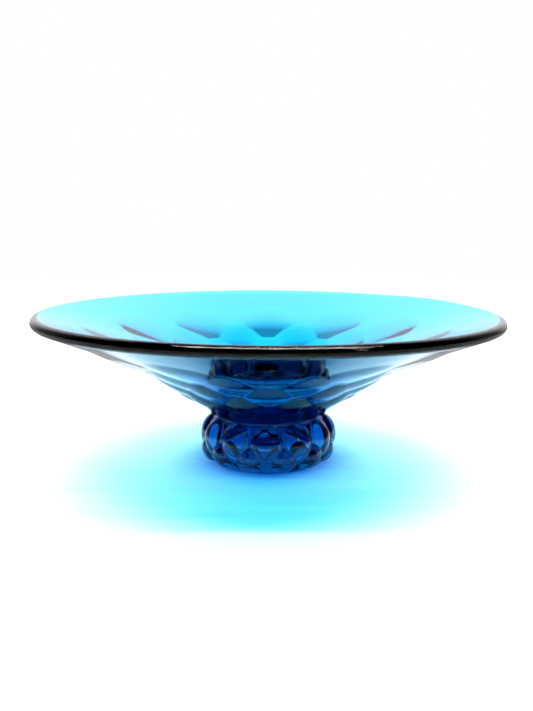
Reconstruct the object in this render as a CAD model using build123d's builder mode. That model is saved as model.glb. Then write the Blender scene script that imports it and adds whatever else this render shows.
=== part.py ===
"""Footed art glass bowl, worked hot and joined hot.

Three pieces of glass: a wide flared bowl with staggered rings of low round bosses on its
underside, a squat foot with two staggered rings of high bosses, and the wafer of glass that
joins the two. Millimetres, +Z up, origin at the centre of the ring that the foot stands on.
"""

import os
from math import acos, asin, atan2, cos, degrees, radians, sin, sqrt

from build123d import *

# Driving dimensions
rim_radius = 140.0  # outside of the rim
height = 93.4  # table to the top of the rim
bead_radius = 3.3  # fire-polished rim
foot_top_z = 28.4
seat_z = 30.4  # underside of the bowl, on the wafer
bosses_around = 12  # in every ring

# Bowl wall: a steep lower cone and a flatter upper cone, with a long soft bend between
seat_radius = 33.6
outer_bend = (74.7, 62.9)
outer_bend_radius = 190.0
rim_wall = 6.5  # thickness of the wall where it meets the bead
rim_slope = 24.0  # degrees above horizontal, the wall at the rim
inner_bend = (74.0, 70.8)
inner_bend_radius = 170.0
well_corner = (34.0, 42.0)  # where the floor of the well would meet the lower cone
well_radius = 60.0

# Rings of bosses under the bowl: distance up the outer wall from the seat, half size up the
# wall and round it, height, and how many pitches the ring is turned
bowl_bosses = [
    (72.5, 21.5, 20.5, 1.5, 0.0),
    (53.5, 17.0, 17.5, 1.7, 0.5),
    (39.5, 15.0, 16.0, 2.2, 0.0),
    (25.0, 12.5, 13.5, 2.2, 0.5),
]

# Foot: between the bosses its side is one round arc from the heel through the waist to the
# shoulder
heel = (34.0, 0.8)
waist = (38.0, 15.6)
shoulder = (33.4, foot_top_z)
base_radius = 33.0  # outside of the ring that touches the table
hollow_radius = 25.0
hollow_depth = 2.0  # ground hollow inside that ring
# Middle of the boss above the table, half height, half width, height, turn in pitches
foot_bosses = [
    (19.0, 11.6, 9.4, 4.2, 0.0),
    (9.0, 7.8, 8.8, 4.0, 0.5),
]

# Wafer: pinched a little smaller than the seat and the shoulder
wafer_radius = 32.8
wafer_bulge = 0.7

root_depth = 1.5  # how far a boss is rooted in the wall it stands on
pitch_angle = 360 / bosses_around
front_angle = -90.0  # the first boss of an unturned ring faces -Y


def boss(place, slope, half_height, half_width, height, bend_up, bend_round):
    """Barrel-shaped lump for one boss, at place (x, z) on a wall rising outwards at slope.

    bend_up and bend_round are how fast the wall itself curves away from the outside, up the
    wall and round it. The lump is that much rounder, so that the boss has the asked height
    over the wall and meets it at the asked half sizes.
    """
    radius_up = 1 / (2 * height / half_height**2 + bend_up)
    radius_round = 1 / (2 * height / half_width**2 + bend_round)
    tall = height + root_depth
    half_chord = sqrt(radius_up**2 - (radius_up - tall) ** 2)
    sweep = degrees(acos(1 - tall / radius_round))
    up = Vector(cos(radians(slope)), 0, sin(radians(slope)))
    wall = Plane(origin=(place[0], 0, place[1]), x_dir=up, z_dir=(0, -1, 0))
    spindle = Axis(wall.from_local_coords((0, radius_round - height, 0)), up)
    with BuildPart() as lump:
        with BuildSketch(wall):
            with BuildLine():
                low, high = (-half_chord, root_depth), (half_chord, root_depth)
                ThreePointArc(low, (0, -height), high)
                Line(high, low)
            make_face()
        revolve(axis=spindle, revolution_arc=sweep)
        mirror(about=Plane.XZ)
    return lump.part


def ring_of_bosses(lump, turn):
    """Adds the same boss at every pitch round the axis to the part being built."""
    with PolarLocations(0, bosses_around, start_angle=front_angle + turn * pitch_angle):
        add(lump)


def slope_at(wall, distance):
    """Slope of a wall's outline above horizontal, in degrees, at a distance along it."""
    tangent = wall.tangent_at(distance, position_mode=PositionMode.LENGTH)
    return degrees(atan2(tangent.Y, tangent.X))


# Bowl: the wall's section and the round bead, turned about the axis, then the bosses
bead_centre = (rim_radius - bead_radius, height - bead_radius)
across = (-sin(radians(rim_slope)) * rim_wall / 2, cos(radians(rim_slope)) * rim_wall / 2)
outer_rim = (bead_centre[0] - across[0], bead_centre[1] - across[1])
inner_rim = (bead_centre[0] + across[0], bead_centre[1] + across[1])
floor_centre = (0, well_corner[1])

with BuildPart() as bowl:
    with BuildSketch(Plane.XZ):
        with BuildLine():
            Line((0, seat_z), (seat_radius, seat_z))
            outer_wall = FilletPolyline(
                (seat_radius, seat_z), outer_bend, outer_rim, radius=outer_bend_radius
            )
            Line(outer_rim, inner_rim)
            FilletPolyline(
                inner_rim, inner_bend, well_corner, floor_centre, radius=[inner_bend_radius, well_radius]
            )
            Line(floor_centre, (0, seat_z))
        make_face()
        with Locations(bead_centre):
            Circle(bead_radius)
    revolve(axis=Axis.Z)
    for distance, half_height, half_width, rise, turn in bowl_bosses:
        place = outer_wall.position_at(distance, position_mode=PositionMode.LENGTH)
        slope = slope_at(outer_wall, distance)
        below = slope_at(outer_wall, distance - half_height)
        above = slope_at(outer_wall, distance + half_height)
        bend_up = radians(above - below) / (2 * half_height)
        bend_round = sin(radians(slope)) / place.X
        lump = boss((place.X, place.Y), slope, half_height, half_width, rise, bend_up, bend_round)
        ring_of_bosses(lump, turn)
bowl.part.label = "bowl"

# Foot: a squat bun with a ground hollow under it, its bosses trimmed flush at top and bottom
side_arc = ThreePointArc(heel, waist, shoulder, mode=Mode.PRIVATE)
side_centre, side_radius = side_arc.arc_center, side_arc.radius

with BuildPart() as foot:
    with BuildSketch(Plane.XZ):
        with BuildLine():
            ThreePointArc(heel, waist, shoulder)
            Line(shoulder, (0, foot_top_z))
            Line((0, foot_top_z), (0, hollow_depth))
            TangentArc((0, hollow_depth), (hollow_radius, 0), tangent=(1, 0))
            Line((hollow_radius, 0), (base_radius, 0))
            Line((base_radius, 0), heel)
        make_face()
    revolve(axis=Axis.Z)
    for boss_z, half_height, half_width, rise, turn in foot_bosses:
        lean = asin((boss_z - side_centre.Y) / side_radius)
        place = (side_centre.X + side_radius * cos(lean), boss_z)
        slope = degrees(lean) + 90
        bend_up = 1 / side_radius
        bend_round = cos(lean) / place[0]
        lump = boss(place, slope, half_height, half_width, rise, bend_up, bend_round)
        ring_of_bosses(lump, turn)
    split(bisect_by=Plane.XY.offset(foot_top_z), keep=Keep.BOTTOM)
    split(bisect_by=Plane.XY, keep=Keep.TOP)
foot.part.label = "foot"

# Wafer between the foot's flat top and the bowl's flat seat
with BuildPart() as joining_wafer:
    with BuildSketch(Plane.XZ):
        with BuildLine():
            middle = ((foot_top_z + seat_z) / 2, wafer_radius + wafer_bulge)
            ThreePointArc((wafer_radius, foot_top_z), (middle[1], middle[0]), (wafer_radius, seat_z))
            Line((wafer_radius, seat_z), (0, seat_z))
            Line((0, seat_z), (0, foot_top_z))
            Line((0, foot_top_z), (wafer_radius, foot_top_z))
        make_face()
    revolve(axis=Axis.Z)
joining_wafer.part.label = "joining_wafer"

os.makedirs("parts", exist_ok=True)
export_step(bowl.part, "parts/bowl.step")
export_step(foot.part, "parts/foot.step")
export_step(joining_wafer.part, "parts/joining_wafer.step")
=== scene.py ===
"""Footed art glass bowl of transparent aqua-blue glass: the bowl, the wafer and the foot."""
import math

import bpy
import numpy as np
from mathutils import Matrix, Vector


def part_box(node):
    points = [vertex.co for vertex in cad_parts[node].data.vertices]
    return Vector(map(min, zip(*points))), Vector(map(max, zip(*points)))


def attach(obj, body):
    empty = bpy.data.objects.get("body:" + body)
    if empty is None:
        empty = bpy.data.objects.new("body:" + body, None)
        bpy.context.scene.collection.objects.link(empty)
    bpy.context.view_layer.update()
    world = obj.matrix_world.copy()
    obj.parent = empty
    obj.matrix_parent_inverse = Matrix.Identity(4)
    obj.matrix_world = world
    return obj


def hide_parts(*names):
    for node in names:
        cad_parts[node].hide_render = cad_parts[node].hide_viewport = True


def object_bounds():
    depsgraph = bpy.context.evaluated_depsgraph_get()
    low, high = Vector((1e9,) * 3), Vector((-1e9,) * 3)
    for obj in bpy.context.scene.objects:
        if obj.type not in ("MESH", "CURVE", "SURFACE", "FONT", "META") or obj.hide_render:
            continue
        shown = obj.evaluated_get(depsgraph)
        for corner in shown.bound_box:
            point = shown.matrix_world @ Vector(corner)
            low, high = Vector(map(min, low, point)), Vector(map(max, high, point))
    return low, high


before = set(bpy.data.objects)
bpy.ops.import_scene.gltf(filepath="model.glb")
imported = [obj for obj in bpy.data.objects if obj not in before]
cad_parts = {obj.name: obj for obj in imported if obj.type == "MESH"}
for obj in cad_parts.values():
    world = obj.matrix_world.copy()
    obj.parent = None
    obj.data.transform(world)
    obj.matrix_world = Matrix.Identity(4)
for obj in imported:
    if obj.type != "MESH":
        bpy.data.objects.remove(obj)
cad_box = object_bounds()

# Camera: a little above the rim and looking slightly down, from the front.
low, high = (np.array(corner) for corner in cad_box)
rim_radius = (high[0] - low[0]) / 2
camera_data = bpy.data.cameras.new("camera")
camera_data.sensor_width = 36.0
camera_data.lens = 42.4
camera = bpy.data.objects.new("camera", camera_data)
bpy.context.collection.objects.link(camera)
camera.location = (-0.0075 * rim_radius, -3.61 * rim_radius, 1.088 * rim_radius)
camera.rotation_euler = (math.radians(90 - 9.8), 0, 0)
bpy.context.scene.camera = camera

# Table: a round sheet of white paper with painted light: it glows more away from the bowl, standing in for
# the light on a lit sweep, and faint painted streaks of light lie under the bowl, by the bowl's own blue
# light.
table_radius = 1.6
rings = np.linspace(0, 1, 24)[1:] ** 2 * table_radius
turns = np.linspace(0, 2 * np.pi, 96, endpoint=False)
across = np.outer(rings, np.cos(turns)).ravel()
along = np.outer(rings, np.sin(turns)).ravel()
table_mesh = bpy.data.meshes.new("table")
points = np.column_stack([across, along, np.zeros(across.size)])
inner = np.arange(points.shape[0] - 96)
beside = inner - inner % 96 + (inner + 1) % 96
quads = np.column_stack([inner, inner + 96, beside + 96, beside])
table_mesh.from_pydata(points.tolist(), [], [list(range(96))] + quads.tolist())
table = bpy.data.objects.new("table", table_mesh)
bpy.context.collection.objects.link(table)
paper = bpy.data.materials.new("white_paper")
paper.use_nodes = True
nodes, links = paper.node_tree.nodes, paper.node_tree.links
shader = nodes["Principled BSDF"]
shader.inputs["Roughness"].default_value = 0.9
shader.inputs["Specular IOR Level"].default_value = 0.0
place = nodes.new("ShaderNodeTexCoord")
spot = nodes.new("ShaderNodeSeparateXYZ")
links.new(place.outputs["Object"], spot.inputs[0])
distance = nodes.new("ShaderNodeVectorMath")
distance.operation = "LENGTH"
links.new(place.outputs["Object"], distance.inputs[0])


def paper_ramp(kind, source, start, end, top):
    """Map Range node from 0 at start to top at end, of this interpolation kind."""
    ramp_node = nodes.new("ShaderNodeMapRange")
    ramp_node.interpolation_type = kind
    ramp_node.inputs["From Min"].default_value = start
    ramp_node.inputs["From Max"].default_value = end
    ramp_node.inputs["To Max"].default_value = top
    links.new(source, ramp_node.inputs["Value"])
    return ramp_node.outputs["Result"]


def paper_math(operation, first, second):
    """Math node of two sockets."""
    step = nodes.new("ShaderNodeMath")
    step.operation = operation
    links.new(first, step.inputs[0])
    links.new(second, step.inputs[1])
    return step.outputs[0]


# Painted light: under the bowl faint level streaks, lighter and warmer than the paper, are painted into its
# colour in place of the lamps' light bent by the glass
stretched = nodes.new("ShaderNodeMapping")
stretched.inputs["Scale"].default_value = (9.0, 75.0, 1.0)
links.new(place.outputs["Object"], stretched.inputs["Vector"])
streaks = nodes.new("ShaderNodeTexNoise")
streaks.inputs["Scale"].default_value = 1.0
streaks.inputs["Detail"].default_value = 2.0
links.new(stretched.outputs["Vector"], streaks.inputs["Vector"])
under_bowl = paper_ramp("SMOOTHSTEP", distance.outputs["Value"], 0.15, 0.09, 1.0)
light_streak_mask = paper_ramp("SMOOTHSTEP", streaks.outputs["Fac"], 0.42, 0.62, 1.0)
painted_light_streaks = nodes.new("ShaderNodeMixRGB")
painted_light_streaks.inputs["Color1"].default_value = (0.86, 0.86, 0.86, 1)
painted_light_streaks.inputs["Color2"].default_value = (1.0, 0.92, 0.88, 1)
links.new(paper_math("MULTIPLY", under_bowl, light_streak_mask), painted_light_streaks.inputs["Fac"])
links.new(painted_light_streaks.outputs["Color"], shader.inputs["Base Color"])
# Painted light: the paper glows, more behind the bowl clear of the foot and more far out, in place of light
# from behind and from lamps beyond the table
behind = paper_ramp("LINEAR", spot.outputs["Y"], -0.11, 0.09, 0.4)
clear_of_foot = paper_ramp("SMOOTHSTEP", distance.outputs["Value"], 0.03, 0.07, 1.0)
far = paper_ramp("SMOOTHSTEP", distance.outputs["Value"], 0.15, 0.6, 0.75)
painted_glow = paper_math("ADD", paper_math("MULTIPLY", behind, clear_of_foot), far)
shader.inputs["Emission Color"].default_value = (1, 1, 1, 1)
links.new(painted_glow, shader.inputs["Emission Strength"])
# Painted shade: past the bowl's edge, rays mirrored by the glass see the paper as a dark grey, so its
# reflection is painted dim, as if flagged off
painted_dark_reflection = nodes.new("ShaderNodeBsdfDiffuse")
painted_dark_reflection.inputs["Color"].default_value = (0.2, 0.21, 0.22, 1)
path = nodes.new("ShaderNodeLightPath")
seen = nodes.new("ShaderNodeMixShader")
only_mirrored = paper_math("SUBTRACT", path.outputs["Is Glossy Ray"], path.outputs["Is Transmission Ray"])
past_edge = paper_ramp("SMOOTHSTEP", distance.outputs["Value"], 0.14, 0.2, 1.0)
links.new(paper_math("MULTIPLY", only_mirrored, past_edge), seen.inputs[0])
links.new(shader.outputs[0], seen.inputs[1])
links.new(painted_dark_reflection.outputs[0], seen.inputs[2])
links.new(seen.outputs[0], nodes["Material Output"].inputs["Surface"])
table_mesh.materials.append(paper)

# Light: a strip of small lamps overhead, a little to the front, a wide soft box over the
# bowl, a small warm lamp far to the right, and white walls behind, with the room dark in
# front of the bowl and dark flags at its sides.
strip = bpy.data.lights.new("strip_lamp", "AREA")
strip.shape = "RECTANGLE"
strip.size = 0.76
strip.size_y = 0.03
strip.energy = 4.0
strip_lamp = bpy.data.objects.new("strip_lamp", strip)
strip_lamp.location = (0.05, -0.23, 0.65)
strip_lamp.rotation_euler = (math.radians(-12), 0, 0)
strip_lamp.visible_glossy = False
bpy.context.collection.objects.link(strip_lamp)

soft = bpy.data.lights.new("soft_box", "AREA")
soft.shape = "RECTANGLE"
soft.size = 2.4
soft.size_y = 0.4
soft.energy = 28.0
soft_box = bpy.data.objects.new("soft_box", soft)
soft_box.location = (0.06, 0.14, 0.75)
soft_box.visible_glossy = False
soft_box.visible_transmission = False
bpy.context.collection.objects.link(soft_box)


def glowing_panels(name, centres, width, length, turn, color, strength):
    """Flat panels seen in reflections only: width by length, at these centres, all turned alike."""
    x, y = width / 2, length / 2
    corners = np.array([[-x, -y, 0], [x, -y, 0], [x, y, 0], [-x, y, 0]])
    points = (np.array(centres)[:, None, :] + corners[None]).reshape(-1, 3)
    mesh = bpy.data.meshes.new(name)
    mesh.from_pydata(points.tolist(), [], np.arange(len(points)).reshape(-1, 4).tolist())
    panels = bpy.data.objects.new(name, mesh)
    panels.rotation_euler = turn
    panels.visible_camera = False
    panels.visible_diffuse = False
    panels.visible_transmission = False
    bpy.context.collection.objects.link(panels)
    material = bpy.data.materials.new(name)
    material.use_nodes = True
    panel_shader = material.node_tree.nodes["Principled BSDF"]
    panel_shader.inputs["Base Color"].default_value = (0.0, 0.0, 0.0, 1)
    panel_shader.inputs["Emission Color"].default_value = (*color, 1)
    panel_shader.inputs["Emission Strength"].default_value = strength
    mesh.materials.append(material)
    return panels


lamp_row = np.column_stack([np.arange(-22.5, 23) * 0.0167, np.zeros(46), np.zeros(46)])
lamps = glowing_panels("lamp_dots", lamp_row, 0.009, 0.2, (0, 0, 0), (1.0, 0.97, 0.95), 26.0)
lamps.location = (0.05, -0.235, 0.66)
warm_turn = (math.radians(75), 0, math.radians(42))
warm = glowing_panels("warm_lamp", [[0, 0, 0]], 0.08, 0.3, warm_turn, (1.0, 0.72, 0.62), 10.0)
warm.location = (0.92, -1.05, 0.62)

world = bpy.data.worlds.new("studio")
bpy.context.scene.world = world
world.use_nodes = True
nodes, links = world.node_tree.nodes, world.node_tree.links
direction = nodes.new("ShaderNodeTexCoord")
parts = nodes.new("ShaderNodeSeparateXYZ")
links.new(direction.outputs["Generated"], parts.inputs[0])
front = nodes.new("ShaderNodeMapRange")
front.interpolation_type = "SMOOTHSTEP"
front.inputs["From Min"].default_value = 0.1
front.inputs["From Max"].default_value = 0.6
front.inputs["To Min"].default_value = 0.01
front.inputs["To Max"].default_value = 1.0
links.new(parts.outputs["Y"], front.inputs["Value"])
overhead = nodes.new("ShaderNodeFloatCurve")
curve = overhead.mapping.curves[0]
for place, bright in ((0.0, 0.80), (0.25, 0.82), (0.5, 1.0), (0.72, 0.9), (0.88, 0.05), (1.0, 0.02)):
    if place in (0.0, 1.0):
        curve.points[int(place)].location = (place, bright)
    else:
        curve.points.new(place, bright)
overhead.mapping.update()
links.new(parts.outputs["Z"], overhead.inputs["Value"])
level = nodes.new("ShaderNodeMath")
level.operation = "MULTIPLY"
links.new(front.outputs["Result"], level.inputs[0])
links.new(overhead.outputs["Value"], level.inputs[1])
# Dark flags stand at both sides, out of sight
sideways = nodes.new("ShaderNodeMath")
sideways.operation = "ABSOLUTE"
links.new(parts.outputs["X"], sideways.inputs[0])
flags = nodes.new("ShaderNodeMapRange")
flags.inputs["From Min"].default_value = 0.42
flags.inputs["From Max"].default_value = 0.75
flags.inputs["To Min"].default_value = 1.28
flags.inputs["To Max"].default_value = 0.15
links.new(sideways.outputs[0], flags.inputs["Value"])
gain = nodes.new("ShaderNodeMath")
gain.operation = "MULTIPLY"
links.new(flags.outputs["Result"], gain.inputs[1])
links.new(level.outputs[0], gain.inputs[0])
background = nodes["Background"]
background.inputs["Color"].default_value = (1, 1, 1, 1)
links.new(gain.outputs[0], background.inputs["Strength"])
# Past the bowl the eye sees plain white on every side
plain = nodes.new("ShaderNodeBackground")
plain.inputs["Color"].default_value = (1, 1, 1, 1)
path = nodes.new("ShaderNodeLightPath")
seen = nodes.new("ShaderNodeMixShader")
links.new(path.outputs["Is Camera Ray"], seen.inputs[0])
links.new(background.outputs[0], seen.inputs[1])
links.new(plain.outputs[0], seen.inputs[2])
links.new(seen.outputs[0], nodes["World Output"].inputs["Surface"])
world.cycles_visibility.diffuse = False  # the world lights no diffuse surface: the paper is lit by the strip lamp and the soft box, and by its own painted glow
scene = bpy.context.scene
scene.view_settings.view_transform = "Standard"
scene.cycles.max_bounces = 40
scene.cycles.transmission_bounces = 40
scene.cycles.glossy_bounces = 24
scene.cycles.transparent_max_bounces = 40
scene.cycles.sample_clamp_indirect = 8.0
scene.cycles.caustics_reflective = False

# Bowl: blown from a gather of clear aqua-blue glass in a mould that leaves rings of round
# bosses on its outside, then spun out wide, its rim melted to a round bead. It sits on the
# wafer.
mm = 0.001
around = 576  # points round every turned piece
front_angle = -math.pi / 2


def rounded_outline(corners, radii, step):
    """Points about step apart along straight sides from corner to corner.

    Each inner corner is replaced by the arc of its own radius that touches both its sides.
    """
    corners = np.array(corners, float)
    stretches = [corners[:1]]
    for before, corner, after, radius in zip(corners, corners[1:], corners[2:], radii):
        arriving = (corner - before) / np.linalg.norm(corner - before)
        leaving = (after - corner) / np.linalg.norm(after - corner)
        turn = math.acos(np.clip(arriving @ leaving, -1, 1))
        side = np.sign(arriving[0] * leaving[1] - arriving[1] * leaving[0])
        start = corner - arriving * radius * math.tan(turn / 2)
        inward = side * np.array([-arriving[1], arriving[0]])
        swept = np.linspace(0, turn, max(3, int(radius * turn / step)))[:, None]
        centre = start + inward * radius
        stretches.append(centre - inward * radius * np.cos(swept) + arriving * radius * np.sin(swept))
    stretches.append(corners[-1:])
    return even_points(np.concatenate(stretches), step)


def distances(outline):
    """Distance of each point of an outline from its first point, along the outline."""
    return np.concatenate([[0], np.cumsum(np.linalg.norm(np.diff(outline, axis=0), axis=1))])


def at_distances(outline, places):
    """The points of an outline that are these distances along it."""
    along = distances(outline)
    return np.column_stack([np.interp(places, along, outline[:, i]) for i in (0, 1)])


def even_points(outline, step):
    """The same outline as points about step apart."""
    length = distances(outline)[-1]
    return at_distances(outline, np.linspace(0, length, int(length / step) + 2))


def softened(outline, spread, step):
    """The outline averaged along its length with a bell curve of this spread, ends held."""
    reach = int(4 * spread / step)
    weights = np.exp(-0.5 * (np.arange(-reach, reach + 1) * step / spread) ** 2)
    weights /= weights.sum()
    head = 2 * outline[0] - outline[reach:0:-1]
    tail = 2 * outline[-1] - outline[-2 : -reach - 2 : -1]
    padded = np.concatenate([head, outline, tail])
    return np.column_stack([np.convolve(padded[:, i], weights, "valid") for i in (0, 1)])


def outline_normals(outline):
    """Unit vectors square to the outline, on its right-hand side."""
    tangent = np.gradient(outline, axis=0)
    tangent /= np.linalg.norm(tangent, axis=1)[:, None]
    return np.column_stack([tangent[:, 1], -tangent[:, 0]])


def raised_height(up, round_angle, radius, bosses, per_ring, steep, blend, seed):
    """How far the glass stands up, at distance up the wall and angle round the axis.

    One boss is height x s(1 - a^2 - b^2), a and b being the distances from its middle up the
    wall and round it, over its half sizes, and s(t) the power steep of t with its sign kept.
    Above the middle, fade of it turns into the bell exp(-(a^2 + b^2) x 1.6), so that it dies
    away without an edge. All bosses and the plain wall, at zero, are joined by the smooth
    maximum blend x log(sum of exp(height / blend)). Bosses vary a little.
    """
    random = np.random.default_rng(seed)
    pitch = 2 * math.pi / per_ring
    total = np.ones(np.broadcast(up, round_angle).shape)
    for middle, half_height, half_width, height, turn, fade in bosses:
        unevenness = random.uniform(-1, 1, (3, per_ring))
        place = (round_angle - front_angle) / pitch - turn
        nearest = np.round(place)
        for beside in (-1, 0, 1):
            number = (nearest + beside).astype(int) % per_ring
            taller, higher, further = (u[number] for u in unevenness)
            a = (up - middle - 0.02 * half_height * higher) / half_height
            b = (place - nearest - beside - 0.012 * further) * pitch * radius / half_width
            soft = fade * np.clip(a + 0.3, 0, 1)
            inside_edge = 1 - a**2 - b**2
            dome = np.sign(inside_edge) * np.abs(inside_edge) ** steep
            bell = 1.15 * np.exp(-1.6 * (a**2 + b**2)) - 0.15
            raised = height * (1 + 0.06 * taller) * ((1 - soft) * dome + soft * bell)
            total = total + np.exp(np.clip(raised / blend, -60, 60))
    return blend * np.log(total)


def ramp(value, start, end):
    """Smooth step from 0 at start to 1 at end: 3 t^2 - 2 t^3."""
    t = np.clip((value - start) / (end - start), 0, 1)
    return t * t * (3 - 2 * t)


def turned_mesh(name, radius, height, angle):
    """Closed mesh of rows of points round the axis, from one pole to the other.

    radius, height and angle are grids, one row for each point of the outline. The first and
    the last row are closed by a single point on the axis. Seen from outside, an outline that
    starts at the bottom of the axis gives faces that point outwards.
    """
    rows, count = radius.shape
    body = np.stack([radius * np.cos(angle), radius * np.sin(angle), height], axis=-1)
    poles = np.array([[0, 0, height[0].mean()], [0, 0, height[-1].mean()]])
    points = np.concatenate([body.reshape(-1, 3), poles])
    column = np.arange(count)
    beside = (column + 1) % count
    start = (np.arange(rows - 1) * count)[:, None]
    quads = np.stack(
        [start + column, start + beside, start + count + beside, start + count + column], axis=-1
    ).reshape(-1, 4)
    last = (rows - 1) * count
    bottom = np.column_stack([np.full(count, rows * count), beside, column])
    top = np.column_stack([np.full(count, rows * count + 1), last + column, last + beside])
    corners = np.concatenate([quads.ravel(), bottom.ravel(), top.ravel()]).astype(np.int32)
    sizes = np.concatenate([np.full(len(quads), 4), np.full(2 * count, 3)]).astype(np.int32)
    mesh = bpy.data.meshes.new(name)
    mesh.vertices.add(len(points))
    mesh.vertices.foreach_set("co", points.astype(np.float32).ravel())
    mesh.loops.add(len(corners))
    mesh.loops.foreach_set("vertex_index", corners)
    mesh.polygons.add(len(sizes))
    mesh.polygons.foreach_set("loop_start", np.concatenate([[0], np.cumsum(sizes)[:-1]]).astype(np.int32))
    mesh.update(calc_edges=True)
    mesh.validate()
    mesh.shade_smooth()
    piece = bpy.data.objects.new(name, mesh)
    bpy.context.collection.objects.link(piece)
    return piece


bowl_low, bowl_high = (np.array(corner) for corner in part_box("bowl"))
seat_z = bowl_low[2]
seat_radius = 33.6 * mm
joint_overlap = 0.25 * mm  # the pieces sink this far into each other, as fused glass does
bead_radius = 3.3 * mm
rim_wall = 6.5 * mm
rim_slope = math.radians(24)
bead = np.array([bowl_high[0] - bead_radius, bowl_high[2] - bead_radius])
up_wall = np.array([math.cos(rim_slope), math.sin(rim_slope)])
through_wall = np.array([-up_wall[1], up_wall[0]])
neck = math.sqrt(bead_radius**2 - (rim_wall / 2) ** 2)
outer_end = bead - through_wall * rim_wall / 2 - up_wall * neck
inner_end = bead + through_wall * rim_wall / 2 - up_wall * neck
fine = 0.1 * mm
outside = rounded_outline(
    [(0, seat_z - joint_overlap), (seat_radius, seat_z - joint_overlap), (75.4 * mm, 61.6 * mm), outer_end],
    [0.6 * mm, 190 * mm],
    fine,
)
half_bead = math.pi - math.acos(neck / bead_radius)  # swing of the bead each side of its tip
swing = np.linspace(-half_bead, half_bead, 150)[1:-1, None]
bead_arc = bead + bead_radius * (np.cos(swing) * up_wall + np.sin(swing) * through_wall)
inside = rounded_outline(
    [inner_end, (68.0 * mm, 68.2 * mm), (34.0 * mm, 42.0 * mm), (0, 42.0 * mm)],
    [170 * mm, 60 * mm],
    fine,
)
outline = softened(even_points(np.concatenate([outside, bead_arc, inside]), fine), 0.5 * mm, fine)
wall_start = seat_radius
wall_end = distances(outside)[-1]
bead_end = wall_end + 2 * half_bead * bead_radius
whole = distances(outline)[-1]
places = np.concatenate([
    np.linspace(0.5 * mm, wall_start - 1.2 * mm, 6),
    np.linspace(wall_start - 0.8 * mm, wall_end - 1 * mm, 104),
    np.linspace(wall_end - 0.2 * mm, bead_end + 1 * mm, 22),
    np.linspace(bead_end + 2.5 * mm, whole - 0.5 * mm, 34),
])
section = at_distances(outline, places)
normal = outline_normals(outline)
normal = np.column_stack([np.interp(places, distances(outline), normal[:, i]) for i in (0, 1)])
angle = np.linspace(0, 2 * math.pi, around, endpoint=False)[None, :]
# Middle up the wall from the seat, half height, half width, height, turn in pitches, fade
bowl_bosses = [
    (72.5 * mm, 21.5 * mm, 20.5 * mm, 1.5 * mm, 0.0, 0.3),
    (53.5 * mm, 17.0 * mm, 17.5 * mm, 1.7 * mm, 0.5, 0.3),
    (39.5 * mm, 15.0 * mm, 16.0 * mm, 2.2 * mm, 0.0, 0.0),
    (25.0 * mm, 12.5 * mm, 13.5 * mm, 2.2 * mm, 0.5, 0.0),
]
up_side = (places - wall_start)[:, None]
raised = raised_height(up_side, angle, section[:, :1], bowl_bosses, 12, 1.0, 0.12 * mm, 4)
# Between the bosses the wall lies a little deeper than the outline
sunk = 0.5 * mm * ramp(up_side, 2 * mm, 14 * mm) * (1 - ramp(up_side, 40 * mm, 105 * mm))
raised = np.where((places > wall_end)[:, None], 0, raised - sunk)
radius = section[:, :1] + raised * normal[:, :1]
height = section[:, 1:] + raised * normal[:, 1:]
# The spun rim is a little lower on one side and not quite level
lift = (radius / rim_radius) ** 2
dip = 2.0 * mm * ((1 + np.cos(angle)) / 2) ** 3 + 0.7 * mm * ((1 + np.sin(angle)) / 2) ** 2
height = height - lift * dip
height = height + lift * 0.7 * mm * np.exp(-(((angle - 0.63) / 0.22) ** 2))
angle = np.broadcast_to(angle, radius.shape)
bowl = turned_mesh("bowl_glass", radius, height, angle)


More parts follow.
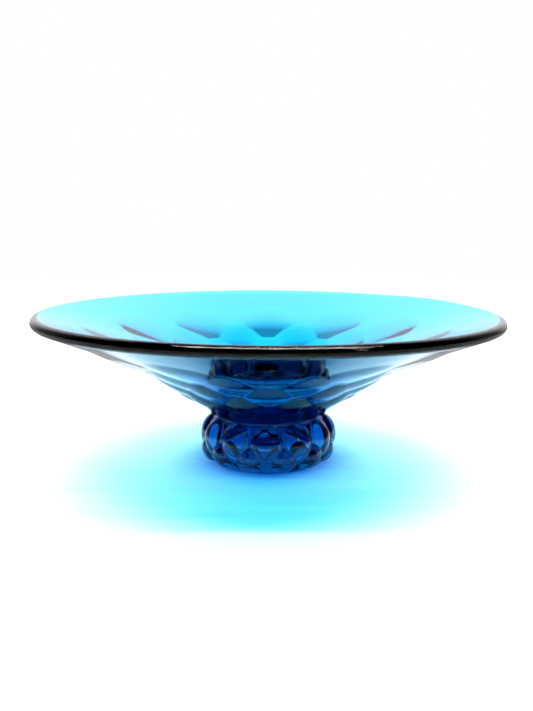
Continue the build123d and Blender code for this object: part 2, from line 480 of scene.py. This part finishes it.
def hand_worked_surface():
    """Shader group: the slight ripple, fine wear and ground patch of a hand-worked glass skin."""
    group = bpy.data.node_groups.new("hand_worked_surface", "ShaderNodeTree")
    for socket, kind, value in (
        ("Position", "NodeSocketVector", None),
        ("Ripple Scale", "NodeSocketFloat", 30.0),
        ("Ripple Height", "NodeSocketFloat", 0.0001),
        ("Wear", "NodeSocketFloat", 0.01),
        ("Ground Height", "NodeSocketFloat", -1.0),
        ("Ground Roughness", "NodeSocketFloat", 0.35),
    ):
        added = group.interface.new_socket(socket, in_out="INPUT", socket_type=kind)
        if value is not None:
            added.default_value = value
    group.interface.new_socket("Color", in_out="OUTPUT", socket_type="NodeSocketColor")
    group.interface.new_socket("Roughness", in_out="OUTPUT", socket_type="NodeSocketFloat")
    group.interface.new_socket("Normal", in_out="OUTPUT", socket_type="NodeSocketVector")
    nodes, links = group.nodes, group.links
    given, result = nodes.new("NodeGroupInput"), nodes.new("NodeGroupOutput")
    ripple = nodes.new("ShaderNodeTexNoise")
    ripple.inputs["Detail"].default_value = 1.0
    links.new(given.outputs["Position"], ripple.inputs["Vector"])
    links.new(given.outputs["Ripple Scale"], ripple.inputs["Scale"])
    bump = nodes.new("ShaderNodeBump")
    links.new(ripple.outputs["Fac"], bump.inputs["Height"])
    links.new(given.outputs["Ripple Height"], bump.inputs["Distance"])
    links.new(bump.outputs["Normal"], result.inputs["Normal"])
    cords = nodes.new("ShaderNodeMixRGB")
    cords.inputs["Color1"].default_value = (1.0, 1.0, 1.0, 1)
    cords.inputs["Color2"].default_value = (0.955, 0.975, 0.985, 1)
    links.new(ripple.outputs["Fac"], cords.inputs["Fac"])
    links.new(cords.outputs["Color"], result.inputs["Color"])
    scuffs = nodes.new("ShaderNodeTexNoise")
    scuffs.inputs["Scale"].default_value = 420.0
    scuffs.inputs["Detail"].default_value = 4.0
    links.new(given.outputs["Position"], scuffs.inputs["Vector"])
    sparse = nodes.new("ShaderNodeMapRange")
    sparse.inputs["From Min"].default_value = 0.58
    sparse.inputs["From Max"].default_value = 0.75
    links.new(scuffs.outputs["Fac"], sparse.inputs["Value"])
    worn = nodes.new("ShaderNodeMath")
    worn.operation = "MULTIPLY"
    links.new(sparse.outputs["Result"], worn.inputs[0])
    links.new(given.outputs["Wear"], worn.inputs[1])
    parts = nodes.new("ShaderNodeSeparateXYZ")
    links.new(given.outputs["Position"], parts.inputs[0])
    above = nodes.new("ShaderNodeMath")
    above.operation = "SUBTRACT"
    links.new(parts.outputs["Z"], above.inputs[0])
    links.new(given.outputs["Ground Height"], above.inputs[1])
    ground = nodes.new("ShaderNodeMapRange")
    ground.inputs["From Max"].default_value = 0.0003
    ground.inputs["To Max"].default_value = 0.0
    links.new(above.outputs[0], ground.inputs["Value"])
    links.new(given.outputs["Ground Roughness"], ground.inputs["To Min"])
    rough = nodes.new("ShaderNodeMath")
    rough.operation = "MAXIMUM"
    links.new(worn.outputs[0], rough.inputs[0])
    links.new(ground.outputs["Result"], rough.inputs[1])
    links.new(rough.outputs[0], result.inputs["Roughness"])
    return group


hand_worked = hand_worked_surface()


def glass(name, tint_color, tint_density, ripple_scale, ripple_height, wear, ground_z):
    """Transparent aqua-blue glass, tinted by how much of it the light passes through."""
    material = bpy.data.materials.new(name)
    material.use_nodes = True
    nodes, links = material.node_tree.nodes, material.node_tree.links
    shader = nodes["Principled BSDF"]
    shader.inputs["IOR"].default_value = 1.5
    shader.inputs["Transmission Weight"].default_value = 1.0
    position = nodes.new("ShaderNodeTexCoord")
    skin = nodes.new("ShaderNodeGroup")
    skin.node_tree = hand_worked
    links.new(position.outputs["Object"], skin.inputs["Position"])
    skin.inputs["Ripple Scale"].default_value = ripple_scale
    skin.inputs["Ripple Height"].default_value = ripple_height
    skin.inputs["Wear"].default_value = wear
    skin.inputs["Ground Height"].default_value = ground_z
    links.new(skin.outputs["Color"], shader.inputs["Base Color"])
    links.new(skin.outputs["Roughness"], shader.inputs["Roughness"])
    links.new(skin.outputs["Normal"], shader.inputs["Normal"])
    tint = nodes.new("ShaderNodeVolumeAbsorption")
    tint.inputs["Color"].default_value = (*tint_color, 1)
    tint.inputs["Density"].default_value = tint_density
    clear = nodes.new("ShaderNodeBsdfTransparent")
    clear.inputs["Color"].default_value = (0.97, 0.97, 0.97, 1)
    path = nodes.new("ShaderNodeLightPath")
    mix = nodes.new("ShaderNodeMixShader")
    links.new(path.outputs["Is Shadow Ray"], mix.inputs[0])
    links.new(shader.outputs[0], mix.inputs[1])
    links.new(clear.outputs[0], mix.inputs[2])
    out = nodes["Material Output"]
    links.new(mix.outputs[0], out.inputs["Surface"])
    links.new(tint.outputs[0], out.inputs["Volume"])
    return material


bowl.data.materials.append(glass("bowl_aqua_glass", (0.0, 0.765, 0.885), 430.0, 28.0, 0.00004, 0.02, -1.0))
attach(bowl, "root")
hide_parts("bowl")

# Wafer: a bit of hot glass dropped between the foot and the bowl, which fuses to both.
wafer_low, wafer_high = (np.array(corner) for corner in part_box("joining_wafer"))
wafer_radius = wafer_high[0]
wafer_outline = rounded_outline(
    [
        (0, wafer_low[2] - joint_overlap),
        (wafer_radius, wafer_low[2] - joint_overlap),
        (wafer_radius, wafer_high[2] + joint_overlap),
        (0, wafer_high[2] + joint_overlap),
    ],
    [1.0 * mm, 1.0 * mm],
    fine,
)
wafer_length = distances(wafer_outline)[-1]
wafer_places = np.concatenate([
    np.linspace(0.5 * mm, wafer_radius - 1.5 * mm, 6),
    np.linspace(wafer_radius - 1.2 * mm, wafer_length - wafer_radius + 1.2 * mm, 20),
    np.linspace(wafer_length - wafer_radius + 1.5 * mm, wafer_length - 0.5 * mm, 6),
])
section = at_distances(wafer_outline, wafer_places)
angle = np.broadcast_to(np.linspace(0, 2 * math.pi, 288, endpoint=False), (len(section), 288))
radius = np.broadcast_to(section[:, :1], angle.shape)
height = np.broadcast_to(section[:, 1:], angle.shape)
wafer = turned_mesh("wafer_glass", radius, height, angle)
wafer.data.materials.append(glass("wafer_aqua_glass", (0.0, 0.72, 0.87), 900.0, 60.0, 0.0001, 0.0, -1.0))
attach(wafer, "root")
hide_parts("joining_wafer")

# Foot: a squat solid of the same glass, blown in the same kind of mould: two staggered rings
# of high bosses with deep valleys between them. It is ground flat on a ring underneath.
foot_low, foot_high = (np.array(corner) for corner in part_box("foot"))
waist = np.array([38.0 * mm, 15.6 * mm])
heel = np.array([34.0 * mm, 0.8 * mm])
shoulder = np.array([33.4 * mm, foot_high[2]])


def arc_through(start, middle, end, step):
    """Points about step apart on the circle through three points, from start to end."""
    rows = 2 * np.array([middle - start, end - start])
    sums = np.array([middle @ middle - start @ start, end @ end - start @ start])
    centre = np.linalg.solve(rows, sums)
    size = np.linalg.norm(start - centre)
    first, last = (math.atan2(*(p - centre)[::-1]) for p in (start, end))
    swing = np.linspace(first, last, int(size * abs(last - first) / step) + 2)
    return centre + size * np.column_stack([np.cos(swing), np.sin(swing)])


side = arc_through(heel, waist, shoulder, fine)
hollow = arc_through(np.array([-25.0, 0]) * mm, np.array([0, 2.0]) * mm, np.array([25.0, 0]) * mm, fine)
hollow = hollow[hollow[:, 0] > 0]
top = foot_high[2] + joint_overlap
foot_outline = np.concatenate([
    [[0, 2.0 * mm]], hollow, [[33.0 * mm, 0]], side, [shoulder - [0.4 * mm, -joint_overlap]], [[0, top]]
])
foot_outline = softened(even_points(foot_outline, fine), 0.4 * mm, fine)
side_start = distances(hollow)[-1] + 8 * mm + np.linalg.norm(heel - [33.0 * mm, 0])
side_length = distances(side)[-1]
foot_length = distances(foot_outline)[-1]
foot_places = np.concatenate([
    np.linspace(0.5 * mm, side_start - 9 * mm, 12),
    np.linspace(side_start - 8.5 * mm, side_start - 2 * mm, 7),
    np.linspace(side_start - 1.5 * mm, side_start + side_length + 1 * mm, 118),
    np.linspace(side_start + side_length + 2 * mm, foot_length - 0.5 * mm, 8),
])
section = at_distances(foot_outline, foot_places)
normal = outline_normals(foot_outline)
normal = np.column_stack([np.interp(foot_places, distances(foot_outline), normal[:, i]) for i in (0, 1)])
angle = np.linspace(0, 2 * math.pi, around, endpoint=False)[None, :]
side_up = (foot_places - side_start)[:, None]
foot_bosses = [
    (18.8 * mm, 12.0 * mm, 9.2 * mm, 4.0 * mm, 0.0, 0.0),
    (8.4 * mm, 8.0 * mm, 8.6 * mm, 3.9 * mm, 0.5, 0.0),
]
raised = raised_height(side_up, angle + 0.035, section[:, :1], foot_bosses, 12, 0.7, 0.3 * mm, 9)
on_side = (side_up > -1.0 * mm) & (side_up < side_length + 1.0 * mm)
raised = np.where(on_side, raised, 0)
radius = section[:, :1] + raised * normal[:, :1]
height = section[:, 1:] + raised * normal[:, 1:]
angle = np.broadcast_to(angle, radius.shape)
foot = turned_mesh("foot_glass", radius, height, angle)
foot.data.materials.append(glass("foot_aqua_glass", (0.0, 0.82, 0.915), 230.0, 45.0, 0.0001, 0.02, 0.0))
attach(foot, "root")
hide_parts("foot")
